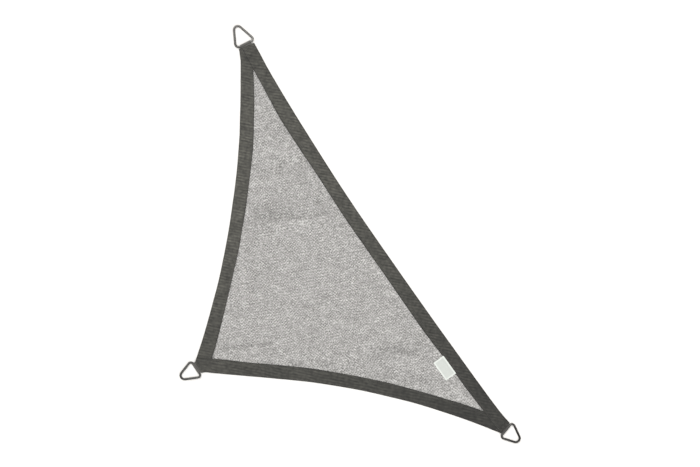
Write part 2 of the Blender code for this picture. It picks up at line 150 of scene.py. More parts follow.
LOWER = HollowEdge(SQUARE.left, FOOT.right, depth=0.0808, lean=0.13, waver=LOWER_WAVER)
LONG = HollowEdge(FOOT.left, HEAD.right, depth=0.046, lean=0.27, waver=LONG_WAVER)
LEFT = HollowEdge(HEAD.left, SQUARE.right, depth=0.0914, lean=-0.04, waver=LEFT_WAVER)
EDGES = (LOWER, LONG, LEFT)


def ease(distance, start, length):
    """1 up to start, 0 beyond start + length, and the smooth step 1 - t t (3 - 2 t) between them."""
    t = np.clip((distance - start) / length, 0, 1)
    return 1 - t * t * (3 - 2 * t)


def over_band(edge, plan):
    """1 over a border's ply, easing to 0 beyond its inner edge."""
    return ease(edge.inset(plan), BAND_WIDTH + EASE_MARGIN, BAND_EASE)


def levels(plan):
    """How many plies lie under each ply at points in plan; for a border, under its lower and upper ply. The
    long border laps round both others, and the lower one round the left one. A loop's lower tail lies just
    above the outermost border's lower ply, and its upper tail just below that border's upper ply."""
    lower, long, left = (over_band(edge, plan) for edge in EDGES)
    square, foot, head = (
        ease(corner.behind(plan), LOOP_TAIL + EASE_MARGIN, TAIL_EASE) for corner in CORNERS.values()
    )
    below_lower = long + foot
    below_left = long + lower + head + square
    return {
        "long": (0 * long, 2 + 2 * (left + lower + head + foot)),
        "lower": (below_lower, below_lower + 2 + 2 * (left + square)),
        "left": (below_left, below_left + 2),
        "panel": below_left + left + foot,
    }


# Soft ridges left by folding: both ends, counted from the same place as the corners, half-width and height
RIDGES = (
    ((0.163, 0.842), (0.695, 1.005), 0.085, 0.0045),
    ((0.900, 0.215), (1.360, 0.330), 0.070, 0.0040),
    ((0.110, 1.180), (0.400, 1.300), 0.075, 0.0030),
)


def beside_line(plan, start, end):
    """For points in plan, how far along the line from start to end they are, how far to its left, and the
    line's length."""
    run = np.subtract(end, start)
    length = np.hypot(*run)
    run = run / length
    offset = plan + MIDDLE - start
    return offset @ run, offset @ (-run[1], run[0]), length


def panel_underside(plan):
    """Height of the panel's underside: the plies below it, and the ridges, each a squared cosine across
    that fades at its ends and towards the borders."""
    loose = np.clip(1 - sum(over_band(edge, plan) for edge in EDGES), 0, 1)
    height = LAYER * levels(plan)["panel"]
    for start, end, half_width, rise in RIDGES:
        along, across, length = beside_line(plan, start, end)
        hump = np.cos(np.clip(across / half_width, -1, 1) * np.pi / 2) ** 2
        ends = ease(-along, 0, half_width) * ease(along, length, half_width)
        height = height + rise * hump * ends * loose
    return height


SEARCH_STEPS = 4000
SEARCH_BEYOND = 0.10  # share of the edge beyond each of its ends, from which a crossing is searched for


def crossing(edge, inset, near, far, limits):
    """The share of the edge at which its parallel curve, on the way from near to far, comes inside all the
    limits: pairs of a cut or another edge, and the inset to reach from it."""
    f = np.linspace(near, far, SEARCH_STEPS + 1)
    curve = edge.parallel(f, inset)
    inside = np.min([limit.inset(curve) - reach for limit, reach in limits], axis=0)
    first = np.argmax(inside > 0)
    share = inside[first] / (inside[first] - inside[first - 1])
    return f[first] + share * (f[first - 1] - f[first])


def trimmed(edge, inset, start_limits, end_limits, count):
    """count points of the edge's parallel curve, evenly from where it is inside the limits at its start to
    where it is at its end."""
    start = crossing(edge, inset, -SEARCH_BEYOND, 1 - SEARCH_BEYOND, start_limits)
    end = crossing(edge, inset, 1 + SEARCH_BEYOND, SEARCH_BEYOND, end_limits)
    return edge.parallel(np.linspace(start, end, count), inset)


ACROSS = 150  # points of the panel's grid across and up
UP = 170
CUT_STEPS = 4  # of the points across, those on each of the two lower corners' cuts


def panel_plan():
    """Points of the panel in plan, up x across: (1 - v) bottom(u) + v top(u) + (1 - u) left(v) + u right(v),
    less the same blend of the four corners, with u and v the shares across and up."""
    sides = []
    rounds = ((SQUARE, LOWER), (FOOT, LONG), (HEAD, LEFT))
    for i, (corner, edge) in enumerate(rounds):
        next_corner, next_edge = rounds[(i + 1) % 3]
        starts = (corner, PANEL_CORNER), (rounds[i - 1][1], PANEL_INSET)
        ends = (next_corner, PANEL_CORNER), (next_edge, PANEL_INSET)
        count = UP if i else ACROSS - 2 * CUT_STEPS
        sides.append(trimmed(edge, PANEL_INSET, starts, ends, count))
    lower, right, left = sides[0], sides[1], sides[2][::-1]
    square_cut = np.linspace(left[0], lower[0], CUT_STEPS, endpoint=False)
    foot_cut = np.linspace(right[0], lower[-1], CUT_STEPS, endpoint=False)[::-1]
    bottom = np.concatenate((square_cut, lower, foot_cut))
    top = np.linspace(left[-1], right[-1], ACROSS)
    u = np.linspace(0, 1, ACROSS)[None, :, None]
    v = np.linspace(0, 1, UP)[:, None, None]
    blend = (1 - v) * bottom + v * top + (1 - u) * left[:, None] + u * right[:, None]
    low = (1 - u) * bottom[0] + u * bottom[-1]
    high = (1 - u) * top[0] + u * top[-1]
    return blend - (1 - v) * low - v * high


def closed_object(name, points, faces, values=None, sharp=40):
    """A piece: one closed body with its faces turned outwards, smooth but for edges sharper than the given
    degrees. Each of the values is stored on its points as an attribute."""
    mesh = bpy.data.meshes.new(name)
    mesh.from_pydata(points.reshape(-1, 3).tolist(), [], faces)
    for attribute, numbers in (values or {}).items():
        mesh.attributes.new(attribute, "FLOAT", "POINT").data.foreach_set("value", numbers.ravel())
    shell = bmesh.new()
    shell.from_mesh(mesh)
    bmesh.ops.recalc_face_normals(shell, faces=shell.faces)
    shell.to_mesh(mesh)
    shell.free()
    mesh.shade_smooth()
    mesh.set_sharp_from_angle(angle=np.radians(sharp))
    made = bpy.data.objects.new(name, mesh)
    bpy.context.scene.collection.objects.link(made)
    return made


def grid_quads(rows, columns, first=0):
    """The faces of a grid of rows x columns points, counted row by row from first."""
    corner = first + np.arange(rows - 1)[:, None] * columns + np.arange(columns - 1)
    return np.stack((corner, corner + 1, corner + columns + 1, corner + columns), -1).reshape(-1, 4)


def sheet_object(name, outer, inner, **values):
    """A closed sheet between two grids of points, its two skins, joined all round by a rim."""
    rows, columns = outer.shape[:2]
    count = rows * columns
    number = np.arange(count).reshape(rows, columns)
    rim = np.concatenate((number[0, :-1], number[:-1, -1], number[-1, :0:-1], number[:0:-1, 0]))
    following = np.roll(rim, -1)
    rim_faces = np.column_stack((rim, following, following + count, rim + count))
    faces = np.concatenate((grid_quads(rows, columns), grid_quads(rows, columns, count), rim_faces))
    both = {key: np.tile(numbers.ravel(), 2) for key, numbers in values.items()}
    return closed_object(name, np.concatenate((outer, inner)), faces.tolist(), both)


# Painted shade beside the lines of old folds: the knit is made to cover more of the view on one side of a
# crease and less on the other, in place of the light and shade the creases would catch. Both ends,
# half-width, and how much more of the view it covers just to the left of the line and just to its right
FOLD_LINES = (
    ((0.165, 0.846), (0.695, 1.005), 0.095, 0.030, -0.016),
    ((0.172, 1.322), (0.389, 1.281), 0.040, -0.022, -0.022),
    ((0.139, 1.094), (0.256, 1.114), 0.035, -0.018, -0.018),
    ((0.984, 0.209), (1.409, 0.350), 0.045, 0.015, 0.015),
    ((1.299, 0.121), (1.416, 0.141), 0.070, 0.018, 0.018),
    ((1.486, 0.081), (1.640, 0.060), 0.090, -0.020, -0.020),
    ((0.619, 0.062), (1.212, 0.105), 0.060, 0.016, 0.016),
    ((0.124, 0.104), (0.423, 0.190), 0.022, 0.080, 0.080),
)
FOLD_TURN = 0.006  # to either side of a line, within which the left's amount turns into the right's
# Painted shade of the cloth's soft waves, as darker and lighter patches where the knit is made to cover more
# or less of the view: the patch's middle, the direction in degrees in which it is longest, half its length
# and half its width, and how much more of the view the knit covers at its middle
WAVE_SHADE_PATCHES = (
    ((0.293, 1.345), 25, 0.130, 0.050, -0.015),
    ((0.300, 1.210), 12, 0.170, 0.050, 0.022),
    ((0.460, 1.165), -45, 0.200, 0.050, 0.014),
    ((0.235, 1.110), 14, 0.110, 0.035, -0.012),
    ((0.297, 0.965), 18, 0.180, 0.080, 0.038),
    ((0.575, 1.060), 10, 0.130, 0.060, 0.018),
    ((0.270, 0.868), 18, 0.170, 0.048, 0.028),
    ((0.446, 0.875), 17, 0.330, 0.075, -0.010),
    ((0.625, 0.855), 10, 0.110, 0.070, -0.018),
    ((0.178, 0.765), 80, 0.100, 0.045, -0.014),
    ((0.713, 0.726), -50, 0.210, 0.085, -0.009),
    ((0.267, 0.564), 40, 0.140, 0.055, 0.012),
    ((0.525, 0.465), 0, 0.140, 0.055, -0.015),
    ((0.898, 0.423), -20, 0.100, 0.050, 0.016),
    ((0.433, 0.269), 10, 0.080, 0.060, -0.015),
    ((0.656, 0.260), 10, 0.120, 0.055, 0.016),
    ((0.400, 0.135), 12, 0.260, 0.042, 0.014),
    ((1.105, 0.245), 26, 0.330, 0.065, 0.024),
    ((1.230, 0.360), 10, 0.130, 0.055, 0.018),
    ((1.341, 0.122), -10, 0.090, 0.040, 0.020),
)


def closeness(plan):
    """Painted shade on the panel: how much more of the view the knit is made to cover at points in plan,
    darker and lighter beside the creases of old folds and in patches where soft waves would shade the cloth.
    Beside a fold line it is the side's own amount times (1 - t)^2, with t the distance in half-widths, and
    fades towards both ends. Over a patch it is the amount times (1 - d)^2, with d the sum of the squared
    distances along and across it, in halves of its sizes."""
    total = np.zeros(plan.shape[:-1])
    for start, end, half_width, on_left, on_right in FOLD_LINES:
        along, across, length = beside_line(plan, start, end)
        side = ease(across, -FOLD_TURN, 2 * FOLD_TURN)
        amount = on_left * (1 - side) + on_right * side
        ends = ease(-along, 0, half_width) * ease(along, length, half_width)
        total += amount * np.clip(1 - np.abs(across) / half_width, 0, 1) ** 2 * ends
    for middle, degrees, half_length, half_width, amount in WAVE_SHADE_PATCHES:
        angle = np.radians(degrees)
        along, across, _ = beside_line(plan, middle, np.add(middle, (np.cos(angle), np.sin(angle))))
        d = (along / half_length) ** 2 + (across / half_width) ** 2
        total += amount * np.clip(1 - d, 0, 1) ** 2
    return total


def linear(code):
    """A hex colour in sRGB as linear red, green, blue and 1: a channel c is c / 12.92 up to 0.04045, and
    ((c + 0.055) / 1.055) ^ 2.4 above it."""
    c = np.array([int(code[i : i + 2], 16) for i in (1, 3, 5)]) / 255
    return (*np.where(c <= 0.04045, c / 12.92, ((c + 0.055) / 1.055) ** 2.4), 1.0)


def started(name):
    """A new material, its nodes and its shader."""
    made = bpy.data.materials.new(name)
    made.use_nodes = True
    return made, made.node_tree, made.node_tree.nodes["Principled BSDF"]


def give(tree, node, inputs):
    """Gives each input of the node its value, or links it to a socket or to the first output of a node."""
    for key, value in inputs.items():
        if isinstance(value, bpy.types.Node):
            value = value.outputs[0]
        if isinstance(value, bpy.types.NodeSocket):
            tree.links.new(value, node.inputs[key])
        else:
            node.inputs[key].default_value = value


def add(tree, kind, inputs=None, **settings):
    """Adds a node of the kind to the tree, with its settings and its inputs."""
    made = tree.nodes.new("ShaderNode" + kind)
    for key, value in settings.items():
        setattr(made, key, value)
    give(tree, made, inputs or {})
    return made


# Directions in which the knit's rows, and the two slants of the yarn laid between them, are counted, in
# turns a metre, with how much they open and close the knit. The real rows are about 3 mm apart, too fine to
# show, so they are drawn 12 to 17 mm apart.
KNIT_WAVES = (
    ((20.0, -53.7, 0.0), 0.020),
    ((34.3, 70.4, 0.0), 0.027),
    ((71.0, -37.8, 0.0), 0.0305),
)
KNIT_DRIFT = 5.0  # patches a metre in which the rows drift from straight
KNIT_SWAY = 9.0  # radians by which they drift at most
KNIT_PATCH = 26.0  # patches a metre in which a direction comes and goes
KNIT_PATCH_RANGE = 0.3, 0.7  # of the noise, over which it does
# Looseness of the stitches: patches a metre, and how much they open and close the knit at most
KNIT_LOOSENESS = ((13.0, 0.015), (28.0, 0.022), (70.0, 0.035), (150.0, 0.092))
KNIT_LOOSE_RANGE = 0.25, 0.75  # of the noise, over which they do
YARN_SHARE = 0.240  # how much of the view one skin of the knit covers
YARN_LIMITS = 0.02, 0.85  # how much it covers at least and at most


def panel_knit():
    """Warp-knitted polyethylene monofilament: dark yarn, half open between the stitches, so against white it
    reads as a sheer light grey with a fine, restless, crosshatched grain."""
    made, tree, shader = started("warp-knitted sheer polyethylene")
    place = add(tree, "TexCoord").outputs["Object"]
    # The painted shade of creases and waves adds to how much of the view the yarn covers
    cover = add(tree, "Attribute", attribute_name="closeness").outputs["Fac"]
    cover = add(tree, "Math", {0: cover, 1: YARN_SHARE}, operation="ADD")
    low, high = KNIT_PATCH_RANGE
    # Each direction reads both noises at a depth of its own
    for number, (turns, strength) in enumerate(KNIT_WAVES):
        count = add(tree, "VectorMath", {0: place, 1: np.multiply(turns, 2 * np.pi)}, operation="DOT_PRODUCT")
        drift = {"Vector": place, "W": 3.7 * number, "Scale": KNIT_DRIFT, "Detail": 1.0}
        drift = add(tree, "TexNoise", drift, noise_dimensions="4D")
        angle = {0: drift, 1: KNIT_SWAY, 2: count.outputs["Value"]}
        wave = add(tree, "Math", {0: add(tree, "Math", angle, operation="MULTIPLY_ADD")}, operation="SINE")
        patch = {"Vector": place, "W": 9.1 + 2.3 * number, "Scale": KNIT_PATCH, "Detail": 1.0}
        patch = add(tree, "TexNoise", patch, noise_dimensions="4D")
        strong = {"Value": patch, "From Min": low, "From Max": high, "To Min": 0.0, "To Max": 2 * strength}
        strong = add(tree, "MapRange", strong)
        cover = add(tree, "Math", {0: wave, 1: strong, 2: cover}, operation="MULTIPLY_ADD")
    low, high = KNIT_LOOSE_RANGE
    for scale, most in KNIT_LOOSENESS:
        loose = add(tree, "TexNoise", {"Vector": place, "Scale": scale, "Detail": 0.0})
        loose = {"Value": loose, "From Min": low, "From Max": high, "To Min": -most, "To Max": most}
        cover = add(tree, "Math", {0: cover, 1: add(tree, "MapRange", loose)}, operation="ADD")
    least, most = YARN_LIMITS
    cover = add(tree, "Clamp", {"Value": cover, "Min": least, "Max": most})
    relief = add(tree, "Bump", {"Height": cover, "Strength": 0.5, "Distance": 0.0008})
    give(tree, shader, {"Alpha": cover, "Normal": relief, "Base Color": linear("#4A4845")})
    give(tree, shader, {"Roughness": 0.75, "IOR": 1.5, "Sheen Weight": 0.1})
    return made


plan = panel_plan()
under = np.dstack((plan, panel_underside(plan)))
# The panel carries its painted drape shade as an attribute
panel = sheet_object("panel", under + (0, 0, PLY), under, closeness=closeness(plan))
panel.data.materials.append(panel_knit())
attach(panel, "root")
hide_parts("cloth")

# ---------------------------------------------------------------- the borders
# Each border is one strip of dense knit, folded round an edge of the panel and sewn down flat, so that it has
# a ply below and a ply above. The long one laps round the ends of both others, the lower one round the left.

BAND_TUCK = 0.018  # how far a border runs on below the one that crosses over it
BAND_STEPS = 13  # from the fold to the inner edge
FOLD_STEPS = 9  # round the fold
SEAMS = 0.0650, 0.0715  # inside the outer fold
PUCKER = 0.00018  # how high the sewing draws the cloth up beside the seams
PUCKER_SPREAD = 0.016  # to either side of the seams
PUCKER_WAVES = (0.021, 42.0), (0.034, 68.0)  # their lengths along the seam, and their phases
CROSSING_MARGIN = 0.02  # beyond another border's inner edge, within which there are none


def puckers(plan, inset, along):
    """Height that the sewing gives the upper ply: the mean of two sine waves along the seam, times exp(-s^2)
    with s the distance from midway between the seams in spreads, and 0 where two borders cross."""
    near = np.exp(-(((inset - np.mean(SEAMS)) / PUCKER_SPREAD) ** 2))
    waves = sum(np.sin(2 * np.pi * along / length + phase) for length, phase in PUCKER_WAVES) / 2
    crossed = np.sum([edge.inset(plan) < BAND_WIDTH + CROSSING_MARGIN for edge in EDGES], axis=0) > 1
    return PUCKER * near * waves * ~crossed


# For each corner, how much paler the painted shading makes the border there, and how far behind the bar a
# darker line runs across it
CORNER_TONES = {"square": (0.096, 0.027), "foot": (0.161, 0.033), "head": (-0.225, 0.015)}
CORNER_REACH = 0.06, 0.22  # from the bar, where that is whole, and over how far it fades
CORNER_DARK_LINE = 0.14, 0.005  # how much darker the line is, and half its width


def shade(plan):
    """Painted light falloff: how pale the border is at points in plan. It is painted paler towards the head
    and darker towards the foot, as a quadratic in x and y, in place of light that falls off from one end of
    the sail to the other. Each corner adds its own tone, less the dark line's depth times exp(-s^2), with s
    the distance from the line in half its width."""
    x, y = plan[..., 0], plan[..., 1]
    tone = 0.90 - 0.455 * x - 0.065 * y - 0.18 * x**2 - 0.358 * y**2 - 0.254 * x * y
    depth, half_width = CORNER_DARK_LINE
    for name, (paler, behind) in CORNER_TONES.items():
        corner = CORNERS[name]
        near = ease(np.hypot(*np.moveaxis(plan - corner.bar, -1, 0)), *CORNER_REACH)
        tone += near * (paler - depth * np.exp(-(((corner.behind(plan) - behind) / half_width) ** 2)))
    return tone


def border(name, edge, count, start_limits, end_limits):
    """A border's grid: from the inner edge of its lower ply out to the fold, half round the fold, and back in
    on the upper ply. The fold is as high as what lies between the two plies."""
    insets = BAND_WIDTH * np.linspace(0, 1, BAND_STEPS)
    plan = np.array([trimmed(edge, inset, start_limits, end_limits, count) for inset in insets])
    below, above = (LAYER * level for level in levels(plan)[name])
    along = (plan - edge.start) @ edge.along
    above = above + puckers(plan, insets[:, None], along)
    lower_ply = np.dstack((plan, below))
    upper_ply = np.dstack((plan, above))
    inwards = (plan[1] - plan[0]) / insets[1]
    middle = (above[0] + PLY + below[0]) / 2
    radius = middle - below[0]
    turns = np.linspace(-np.pi / 2, np.pi / 2, FOLD_STEPS)[:, None]
    folds = []
    for reach in (radius, radius - PLY):
        inset = radius - reach * np.cos(turns)
        folds.append(np.dstack((plan[0] + inset[..., None] * inwards, middle + reach * np.sin(turns))))
    up = (0, 0, PLY)
    outer = np.concatenate((lower_ply[:0:-1], folds[0], upper_ply[1:] + up))
    inner = np.concatenate((lower_ply[:0:-1] + up, folds[1], upper_ply[1:]))
    strip = np.concatenate((-insets[:0:-1], np.zeros(FOLD_STEPS), insets[1:]))
    strip = np.broadcast_to(np.abs(strip)[:, None], outer.shape[:2])
    # The border carries its painted light falloff as an attribute
    return sheet_object("border_" + name, outer, inner, from_fold=strip, shade=shade(outer[..., :2]))


RIB_TURNS = (-10.0, -374.0, 0.0)  # radians a metre, square to the ribs: one rib in 17 mm
RIB_DRIFT = 7.0  # patches a metre in which the ribs drift from straight
RIB_SWAY = 7.0  # radians by which they drift at most
RIB_PATCH = 23.0  # patches a metre in which they come and go
RIB_PATCH_RANGE = 0.35, 0.65  # of the noise, over which they do
RIB_DEPTH = 0.04, 0.40  # how much they darken and lighten the knit, where they are faint and where strong
BORDER_MOTTLE = ((14.0, 0.16), (55.0, 0.42))  # patches a metre, and how much they darken and lighten it
MOTTLE_RANGE = 0.25, 0.75  # of the noise, over which they do
# From and to these distances from the fold, the knit turns from this dark to its own tone: at the inner edge,
# the cut edge that is turned in, darker with painted shade where the border steps up from the panel, and
# along the fold, painted shade where the cloth rounds over
DARK_EDGES = ((0.079, 0.074, 0.6), (0.0, 0.006, 0.7))


def border_knit():
    """Dense dyed polyethylene knit in anthracite, opaque and matte, with fine ribs that run along the lower
    leg on every side, because all three strips are cut the same way of the cloth. The ribs, really about 3 mm
    apart, are drawn 17 mm apart."""
    made, tree, shader = started("dense dyed warp-knitted polyethylene")
    place = add(tree, "TexCoord").outputs["Object"]
    # Painted light falloff across the sail, with each corner's tone and dark line
    tone = add(tree, "Attribute", attribute_name="shade").outputs["Fac"]
    from_fold = add(tree, "Attribute", attribute_name="from_fold").outputs["Fac"]
    count = add(tree, "VectorMath", {0: place, 1: RIB_TURNS}, operation="DOT_PRODUCT").outputs["Value"]
    drift = add(tree, "TexNoise", {"Vector": place, "Scale": RIB_DRIFT})
    angle = add(tree, "Math", {0: drift, 1: RIB_SWAY, 2: count}, operation="MULTIPLY_ADD")
    rib = add(tree, "Math", {0: angle}, operation="SINE")
    (low, high), (faint, strong) = RIB_PATCH_RANGE, RIB_DEPTH
    patch = add(tree, "TexNoise", {"Vector": place, "Scale": RIB_PATCH, "Detail": 1.0})
    patch = {"Value": patch, "From Min": low, "From Max": high, "To Min": faint, "To Max": strong}
    ribbed = add(tree, "Math", {0: rib, 1: add(tree, "MapRange", patch), 2: 1.0}, operation="MULTIPLY_ADD")
    tone = add(tree, "Math", {0: tone, 1: ribbed}, operation="MULTIPLY")
    low, high = MOTTLE_RANGE
    for scale, most in BORDER_MOTTLE:
        mottle = add(tree, "TexNoise", {"Vector": place, "Scale": scale, "Detail": 1.0})
        mottle = {"Value": mottle, "From Min": low, "From Max": high, "To Min": 1 - most, "To Max": 1 + most}
        tone = add(tree, "Math", {0: tone, 1: add(tree, "MapRange", mottle)}, operation="MULTIPLY")
    # Painted shade along the rounded fold; at the inner edge, the darker turned-in cut edge with painted
    # shade where the border steps up
    for near, far, darkest in DARK_EDGES:
        line = {"Value": from_fold, "From Min": near, "From Max": far, "To Min": darkest, "To Max": 1.0}
        tone = add(tree, "Math", {0: tone, 1: add(tree, "MapRange", line)}, operation="MULTIPLY")
    colour = add(tree, "VectorMath", {0: linear("#3A3934")[:3], "Scale": tone}, operation="SCALE")
    relief = add(tree, "Bump", {"Height": rib, "Strength": 0.3, "Distance": 0.0003})
    give(tree, shader, {"Base Color": colour, "Normal": relief})
    give(tree, shader, {"Roughness": 0.85, "IOR": 1.5, "Sheen Weight": 0.05})
    return made


tucked = BAND_WIDTH - BAND_TUCK
# Each border's edge, the points along it, the limits that it starts and ends inside, and its length when flat
BORDERS = {
    "lower": (LOWER, 420, ((SQUARE, 0), (LEFT, 0)), ((FOOT, 0), (LONG, tucked)), 1.817),
    "long": (LONG, 620, ((FOOT, 0), (LOWER, 0)), ((HEAD, 0), (LEFT, 0)), 2.709),
    "left": (LEFT, 420, ((HEAD, 0), (LONG, tucked)), ((SQUARE, 0), (LOWER, tucked)), 1.882),
}
dense_knit = border_knit()
for name, (edge, count, start_limits, end_limits, length) in BORDERS.items():
    strip = border(name, edge, count, start_limits, end_limits)
    strip.data.materials.append(dense_knit)
    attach(strip, "root")
    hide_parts("band_" + name)

# ---------------------------------------------------------------- the seams
# Two rows of lockstitch in dark thread hold each border to the panel along its inner edge. The thread lies
# on the cloth between one needle hole and the next, and dips into each.

THREAD_RADIUS = 0.00045
STITCH = 0.0040
STITCH_GAP = 0.0011
SEAM_START = 0.004  # share of an edge that its seams leave free at either end
COVER_MARGIN = 0.003  # beyond the inner edge of a border that lies over the seam, where its stitches start
SHORT_STEP = 1e-4  # share of an edge, from a stitch's middle to the point that it heads for
THREAD_TWIST = 900.0  # patches a metre, one for each turn of the thread's twist


def stitches(name, middles, directions, top):
    """One mesh of stitches. Each is a hexagonal thread of five rings along its direction, t = -1 to 1 half
    stitches from its middle. In thread radii its middle line lies 0.5 - 1.1 t^4 over the cloth, so that the
    ends dip in, and its radius is (1.06 - t^2)^(1/2)."""
    t = np.array((-1, -0.75, 0, 0.75, 1))
    turns = np.arange(6) * np.pi / 3
    half = STITCH / 2
    side = np.column_stack((-directions[:, 1], directions[:, 0], 0 * top))
    ahead = np.column_stack((directions, 0 * top))
    centre = np.column_stack((middles, top))[:, None] + t[None, :, None] * half * ahead[:, None]
    centre[..., 2] += THREAD_RADIUS * (0.5 - 1.1 * t**4)
    radius = THREAD_RADIUS * np.sqrt(1.06 - t**2)
    section = np.cos(turns)[:, None] * side[:, None, None] + np.sin(turns)[:, None] * np.array((0, 0, 1))
    points = centre[:, :, None] + radius[None, :, None, None] * section
    one = np.arange(len(t) * len(turns)).reshape(len(t), -1)
    beside = np.roll(one, -1, 1)
    wall = np.stack((one[:-1], beside[:-1], beside[1:], one[1:]), -1).reshape(-1, 4)
    each = one.size * np.arange(len(middles))[:, None, None]
    faces = (wall + each).reshape(-1, 4).tolist() + (one[[0, -1]] + each).reshape(-1, 6).tolist()
    return closed_object(name, points, faces, sharp=80)


def thread():
    """Bonded polyester thread, twisted and waxed, so it has a slight gloss."""
    made, tree, shader = started("bonded polyester thread")
    place = add(tree, "TexCoord").outputs["Object"]
    twist = add(tree, "TexNoise", {"Vector": place, "Scale": THREAD_TWIST, "Detail": 1.0})
    colour = add(tree, "Mix", {0: twist, 6: linear("#33322F"), 7: linear("#5B5955")}, data_type="RGBA")
    give(tree, shader, {"Base Color": colour.outputs[2], "Roughness": 0.5, "IOR": 1.5})
    return made


sewing_thread = thread()
COVERS = {"lower": (LONG,), "long": (), "left": (LONG, LOWER)}  # the edges whose borders lie over each one
for name, (edge, _, start_limits, end_limits, _) in BORDERS.items():
    middles, directions = [], []
    for inset in SEAMS:
        ends = trimmed(edge, inset, start_limits, end_limits, 2)
        first, last = (ends - edge.start) @ edge.along / edge.length
        f = np.arange(first + SEAM_START, last - SEAM_START, (STITCH + STITCH_GAP) / edge.length)
        place = edge.parallel(f, inset)
        clear = np.full(len(place), True)
        for cover in COVERS[name]:
            clear &= cover.inset(place) > BAND_WIDTH + COVER_MARGIN
        step = edge.parallel(f + SHORT_STEP, inset) - place
        middles.append(place[clear])
        directions.append((step / np.hypot(*step.T)[:, None])[clear])
    middles, directions = np.concatenate(middles), np.concatenate(directions)
    along = (middles - edge.start) @ edge.along
    top = LAYER * levels(middles)[name][1] + PLY + puckers(middles, edge.inset(middles), along)
    seam = stitches("seam_" + name, middles, directions, top)
    seam.data.materials.append(sewing_thread)
    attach(seam, "root")

# ---------------------------------------------------------------- the rings
# Triangular rings of round stainless wire, bent over formers, with the joint butt-welded in the middle of a
# side and dressed. The bar lies in the loop, and the blunt point is where the sail is pulled.

WIRE_RADIUS = 0.006
# The base of each ring, between its lower corners along the middle of the wire before rounding, the angles in
# degrees at its right and its left, and the radii of its right corner, its tip and its left corner. The
# rings were bent one by one and differ a little.
RINGS = {
    "square": (0.1157, (71.3, 64.4), (0.016, 0.023, 0.014)),
    "foot": (0.1185, (68.2, 64.4), (0.016, 0.024, 0.016)),
    "head": (0.1252, (67.7, 68.6), (0.014, 0.023, 0.020)),
}
LOOP_SLACK = 0.0006  # air between the bar and the webbing round it
BAR_HEIGHT = PLY + LOOP_SLACK + WIRE_RADIUS  # the loop's webbing passes below the bar
WIRE_SIDES = 28
ARC_STEPS = 14
SIDE_STEPS = 24
WELD_LENGTH = 0.0045
WELD_RISE = 0.0004


def rounded_triangle(base, angles, roundings):
    """Middle line of a ring's wire, x outwards from its bar and y along it: its corners are arcs that touch
    both sides, with evenly spread points on the sides between them. With it go the direction square to the
    wire and out of the ring, as an angle, and the distance from the middle of the first slanting side."""
    spread = 1 / np.tan(np.radians(angles))
    height = base / spread.sum()
    corners = np.array(((0, -base / 2), (height, height * spread[0] - base / 2), (0, base / 2)))
    arcs = []
    for i, radius in enumerate(roundings):
        arriving, leaving = corners[i] - corners[i - 1], corners[(i + 1) % 3] - corners[i]
        first, last = (np.arctan2(-side[0], side[1]) for side in (arriving, leaving))
        turn = (last - first) % (2 * np.pi)
        facing = first + turn / 2
        centre = corners[i] - radius / np.cos(turn / 2) * np.array((np.cos(facing), np.sin(facing)))
        turned = first + turn * np.linspace(0, 1, ARC_STEPS + 1)
        arcs.append((centre + radius * np.column_stack((np.cos(turned), np.sin(turned))), turned))
    line, outwards = [], []
    for i, (points, turned) in enumerate(arcs):
        run = np.linspace(points[-1], arcs[(i + 1) % 3][0][0], SIDE_STEPS + 1)[1:-1]
        line += [points, run]
        outwards += [turned, np.full(len(run), turned[-1])]
    weld = (arcs[0][0][-1] + arcs[1][0][0]) / 2
    line = np.concatenate(line)
    return line, np.concatenate(outwards), np.hypot(*(line - weld).T)


def ring_points(corner, ring):
    """A ring: a circle carried round the rounded triangle, slightly fuller at the weld, leaning down so that
    its tip rests on the ground, and turned to the corner's pull."""
    line, outwards, from_weld = rounded_triangle(*ring)
    radius = WIRE_RADIUS + WELD_RISE * np.exp(-((from_weld / WELD_LENGTH) ** 2))
    turns = np.arange(WIRE_SIDES) * 2 * np.pi / WIRE_SIDES
    reach = radius[:, None] * np.cos(turns)
    x = line[:, :1] + np.cos(outwards)[:, None] * reach
    y = line[:, 1:] + np.sin(outwards)[:, None] * reach
    z = radius[:, None] * np.sin(turns)
    lean = np.arcsin((BAR_HEIGHT - WIRE_RADIUS) / line[:, 0].max())
    x, z = x * np.cos(lean) + z * np.sin(lean), z * np.cos(lean) - x * np.sin(lean) + BAR_HEIGHT
    return np.dstack((corner.bar + x[..., None] * corner.pull + y[..., None] * corner.side, z))


def tube_quads(rings, sides, closed):
    """The faces of a tube of rings x sides points, closed on itself or open at its ends."""
    number = np.arange(rings * sides).reshape(rings, sides)
    ahead = np.roll(number, -1, axis=0)
    if not closed:
        number, ahead = number[:-1], ahead[:-1]
    quads = np.stack((number, ahead, np.roll(ahead, -1, 1), np.roll(number, -1, 1)), -1)
    return quads.reshape(-1, 4).tolist()


STEEL_CLOUDS = 90.0  # patches a metre in which the tumbling left it duller
STEEL_MARKS = 1600.0  # marks a metre, one in 0.6 mm


